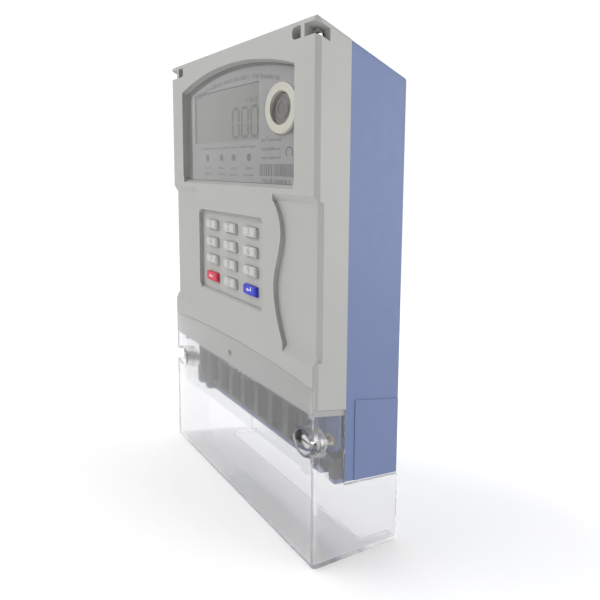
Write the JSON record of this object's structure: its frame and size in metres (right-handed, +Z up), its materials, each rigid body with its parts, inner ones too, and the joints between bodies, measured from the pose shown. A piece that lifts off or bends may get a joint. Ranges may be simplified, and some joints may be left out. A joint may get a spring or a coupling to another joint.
{
  "type": "prepaid electricity meter",
  "caption": "Wall-mounted three-phase prepayment electricity meter: keypad, display and optical port on a grey front, blue base, clear lift-off terminal cover with captive sealing screws.",
  "frame": {"origin": "middle of the wall face of the base, at half the base's height", "axes": "+X to the right seen from the front, +Y into the wall, +Z up; the front faces -Y"},
  "size_m": [0.175, 0.077, 0.315],
  "materials": {
    "backlight": "diffuser",
    "black_plastic": "black moulded",
    "blue_housing": "moulded satin blue",
    "blue_key": "satin keycap",
    "board": "solder mask on glass fibre",
    "brass": "turned brass",
    "capacitor_can": "sleeved can",
    "clear_cover": "clear polycarbonate",
    "clear_window": "clear acrylic pane",
    "component": "moulded electronic part",
    "copper": "bare copper",
    "dark_moulding": "glass filled moulding",
    "display_glass": "liquid crystal glass",
    "gasket_rubber": "foam rubber",
    "grey_housing": "moulded fine texture grey",
    "ivory_ring": "ivory enamel on steel",
    "light_guide": "tinted light guide",
    "mat_rubber": "silicone",
    "port_filter": "infrared filter",
    "printed_label": "printed grey label",
    "red_key": "satin keycap",
    "relay_case": "moulded relay case",
    "ribbon": "flat ribbon",
    "steel": "nickel plated steel",
    "white_key": "satin keycap",
    "zinc_steel": "zinc plated steel"
  },
  "bodies": {
    "case": {"backup_battery": "capacitor_can", "base_shell": "blue_housing", "board_chips": "component", "board_screws": "zinc_steel", "board_spacers": "zinc_steel", "buzzer": "black_plastic", "cover_gasket": "gasket_rubber", "cover_inserts": "brass", "cover_open_sensor": "component", "cover_screws": "steel", "current_transformers": "component", "front_cover": "grey_housing", "indicator_leds": "light_guide", "keypad_board": "board", "keypad_mat": "mat_rubber", "keypad_ribbon": "ribbon", "label_plate": "printed_label", "latching_relays": "relay_case", "lcd_backlight": "backlight", "lcd_frame": "black_plastic", "lcd_glass": "display_glass", "locating_pins": "zinc_steel", "main_board": "board", "neutral_bar": "copper", "phase_bars": "copper", "port_disc": "port_filter", "port_infrared_pair": "component", "port_ring": "ivory_ring", "port_tube": "black_plastic", "seal_inserts": "brass", "signal_screws": "zinc_steel", "super_capacitor": "capacitor_can", "supply_capacitors": "capacitor_can", "supply_transformer": "component", "surge_varistors": "component", "terminal_backing": "dark_moulding", "terminal_block": "dark_moulding", "terminal_cages": "brass", "terminal_screws": "zinc_steel", "window_pane": "clear_window"},
    "hanger": {"hanger": "zinc_steel"},
    "terminal_cover": {"terminal_cover": "clear_cover"},
    "seal_screw_left": {"seal_screw_left": "steel", "seal_clip_left": "steel"},
    "seal_screw_right": {"seal_screw_right": "steel", "seal_clip_right": "steel"},
    "key_1": {"key_1": "white_key"},
    "key_2": {"key_2": "white_key"},
    "key_3": {"key_3": "white_key"},
    "key_4": {"key_4": "white_key"},
    "key_5": {"key_5": "white_key"},
    "key_6": {"key_6": "white_key"},
    "key_7": {"key_7": "white_key"},
    "key_8": {"key_8": "white_key"},
    "key_9": {"key_9": "white_key"},
    "key_backspace": {"key_backspace": "red_key"},
    "key_0": {"key_0": "white_key"},
    "key_enter": {"key_enter": "blue_key"}
  },
  "joints": [
    {"name": "hanger_slide", "type": "slide", "parent": "case", "child": "hanger", "axis": [0, 0, 1], "range_m": [0, 0.018]},
    {"name": "terminal_cover_lift", "type": "slide", "parent": "case", "child": "terminal_cover", "axis": [0, -1, 0], "range_m": [0, 0.09]},
    {"name": "seal_screw_left_turn", "type": "hinge", "parent": "terminal_cover", "child": "seal_screw_left", "pos_m": [-0.0771, -0.07, -0.108], "axis": [0, -1, 0], "continuous": true},
    {"name": "seal_screw_right_turn", "type": "hinge", "parent": "terminal_cover", "child": "seal_screw_right", "pos_m": [0.0771, -0.07, -0.108], "axis": [0, -1, 0], "continuous": true},
    {"name": "key_1_press", "type": "slide", "parent": "case", "child": "key_1", "axis": [0, 1, 0], "range_m": [0, 0.0012], "stiffness_N_per_m": 400, "springref_m": -0.001},
    {"name": "key_2_press", "type": "slide", "parent": "case", "child": "key_2", "axis": [0, 1, 0], "range_m": [0, 0.0012], "stiffness_N_per_m": 400, "springref_m": -0.001},
    {"name": "key_3_press", "type": "slide", "parent": "case", "child": "key_3", "axis": [0, 1, 0], "range_m": [0, 0.0012], "stiffness_N_per_m": 400, "springref_m": -0.001},
    {"name": "key_4_press", "type": "slide", "parent": "case", "child": "key_4", "axis": [0, 1, 0], "range_m": [0, 0.0012], "stiffness_N_per_m": 400, "springref_m": -0.001},
    {"name": "key_5_press", "type": "slide", "parent": "case", "child": "key_5", "axis": [0, 1, 0], "range_m": [0, 0.0012], "stiffness_N_per_m": 400, "springref_m": -0.001},
    {"name": "key_6_press", "type": "slide", "parent": "case", "child": "key_6", "axis": [0, 1, 0], "range_m": [0, 0.0012], "stiffness_N_per_m": 400, "springref_m": -0.001},
    {"name": "key_7_press", "type": "slide", "parent": "case", "child": "key_7", "axis": [0, 1, 0], "range_m": [0, 0.0012], "stiffness_N_per_m": 400, "springref_m": -0.001},
    {"name": "key_8_press", "type": "slide", "parent": "case", "child": "key_8", "axis": [0, 1, 0], "range_m": [0, 0.0012], "stiffness_N_per_m": 400, "springref_m": -0.001},
    {"name": "key_9_press", "type": "slide", "parent": "case", "child": "key_9", "axis": [0, 1, 0], "range_m": [0, 0.0012], "stiffness_N_per_m": 400, "springref_m": -0.001},
    {"name": "key_backspace_press", "type": "slide", "parent": "case", "child": "key_backspace", "axis": [0, 1, 0], "range_m": [0, 0.0012], "stiffness_N_per_m": 400, "springref_m": -0.001},
    {"name": "key_0_press", "type": "slide", "parent": "case", "child": "key_0", "axis": [0, 1, 0], "range_m": [0, 0.0012], "stiffness_N_per_m": 400, "springref_m": -0.001},
    {"name": "key_enter_press", "type": "slide", "parent": "case", "child": "key_enter", "axis": [0, 1, 0], "range_m": [0, 0.0012], "stiffness_N_per_m": 400, "springref_m": -0.001}
  ]
}
